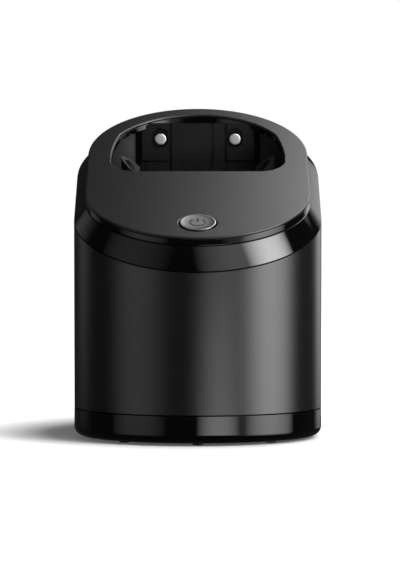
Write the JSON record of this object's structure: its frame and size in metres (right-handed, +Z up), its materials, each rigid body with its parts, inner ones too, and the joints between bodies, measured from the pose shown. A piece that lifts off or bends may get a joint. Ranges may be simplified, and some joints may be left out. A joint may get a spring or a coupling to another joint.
{
  "type": "shaver cleaning and charging station",
  "caption": "Free-standing bathroom station that an electric shaver docks in head down, with a sloping top, docking well, start button, lifting housing and a cleaning cartridge at the back.",
  "frame": {"origin": "centre of the footprint on the surface that the feet stand on", "axes": "+Z up, the front with the start button faces -Y, left-right symmetry across X"},
  "size_m": [0.12, 0.1482, 0.1598],
  "materials": {
    "satin_shell": "fine satin grain",
    "satin_plate": "satin",
    "gloss_black": "high gloss",
    "dark_plastic": "moulded, matte",
    "panel_plastic": "moulded, satin",
    "silver_satin": "satin metallic",
    "symbol_ink": "matte",
    "contact_chrome": "bright",
    "steel": "drawn",
    "screw_steel": "zinc plated",
    "soft_rubber": "matte",
    "seal_silicone": "matte silicone",
    "hose_silicone": "satin silicone",
    "board_laminate": "solder mask",
    "switch_plastic": "moulded",
    "motor_can": "nickel plated",
    "pump_plastic": "moulded acetal",
    "cable_jacket": "satin",
    "cartridge_plastic": "moulded, semi gloss",
    "cartridge_cap": "moulded, semi gloss",
    "brass_pin": "turned",
    "spring_copper": "rolled strip"
  },
  "bodies": {
    "base": {"base_ring": "gloss_black", "base_tray": "dark_plastic", "feet": "soft_rubber", "guide_posts": "steel", "lift_springs": "steel", "base_screws": "screw_steel"},
    "housing": {"shell": "satin_shell", "gloss_band": "gloss_black", "trim_ring": "gloss_black", "top_plate": "satin_plate", "recess_rim": "gloss_black", "recess_liner": "dark_plastic", "contact_panel": "panel_plastic", "channel_insert": "dark_plastic", "cradle_arms": "panel_plastic", "cleaning_basin": "dark_plastic", "basin_seal": "soft_rubber", "inner_deck": "dark_plastic", "deck_screws": "screw_steel", "drain_seal": "soft_rubber", "intake_seal": "soft_rubber", "pump_housing": "pump_plastic", "pump_cover": "pump_plastic", "pump_screws": "screw_steel", "pump_motor": "motor_can", "supply_hose": "hose_silicone", "latch_spring": "steel", "button_guide": "dark_plastic", "control_board": "board_laminate", "board_screws": "screw_steel", "start_switch": "switch_plastic", "contact_springs": "spring_copper", "power_cable": "cable_jacket", "power_inlet": "dark_plastic", "inlet_pins": "brass_pin"},
    "start_key": {"start_button": "silver_satin", "button_symbol": "symbol_ink"},
    "lift_key": {"lift_button": "dark_plastic", "latch_hoop": "steel"},
    "left_contact": {"contact_pin_left": "contact_chrome"},
    "right_contact": {"contact_pin_right": "contact_chrome"},
    "pump_rotor": {"pump_shaft": "steel", "impeller": "pump_plastic"},
    "cartridge": {"cartridge_tub": "cartridge_plastic", "cartridge_lid": "cartridge_cap", "port_seals": "seal_silicone", "dip_tube": "pump_plastic", "drain_screen": "pump_plastic"}
  },
  "joints": [
    {"name": "housing_lift", "type": "slide", "parent": "base", "child": "housing", "axis": [0, 0, 1], "range_m": [0, 0.028], "deforming": ["lift_springs"]},
    {"name": "start_press", "type": "slide", "parent": "housing", "child": "start_key", "axis": [0, 0.4098, -0.9122], "range_m": [0, 0.0007], "stiffness_N_per_m": 500},
    {"name": "lift_press", "type": "slide", "parent": "housing", "child": "lift_key", "axis": [0, -1, 0], "range_m": [0, 0.0025], "stiffness_N_per_m": 600},
    {"name": "left_contact_press", "type": "slide", "parent": "housing", "child": "left_contact", "axis": [0, 1, 0], "range_m": [0, 0.001], "stiffness_N_per_m": 400},
    {"name": "right_contact_press", "type": "slide", "parent": "housing", "child": "right_contact", "axis": [0, 1, 0], "range_m": [0, 0.001], "stiffness_N_per_m": 400},
    {"name": "pump_spin", "type": "hinge", "parent": "housing", "child": "pump_rotor", "pos_m": [0, -0.03, 0.075], "axis": [0, 0, 1], "continuous": true},
    {"name": "cartridge_slide", "type": "slide", "parent": "base", "child": "cartridge", "axis": [0, 1, 0], "range_m": [0, 0.13]}
  ]
}
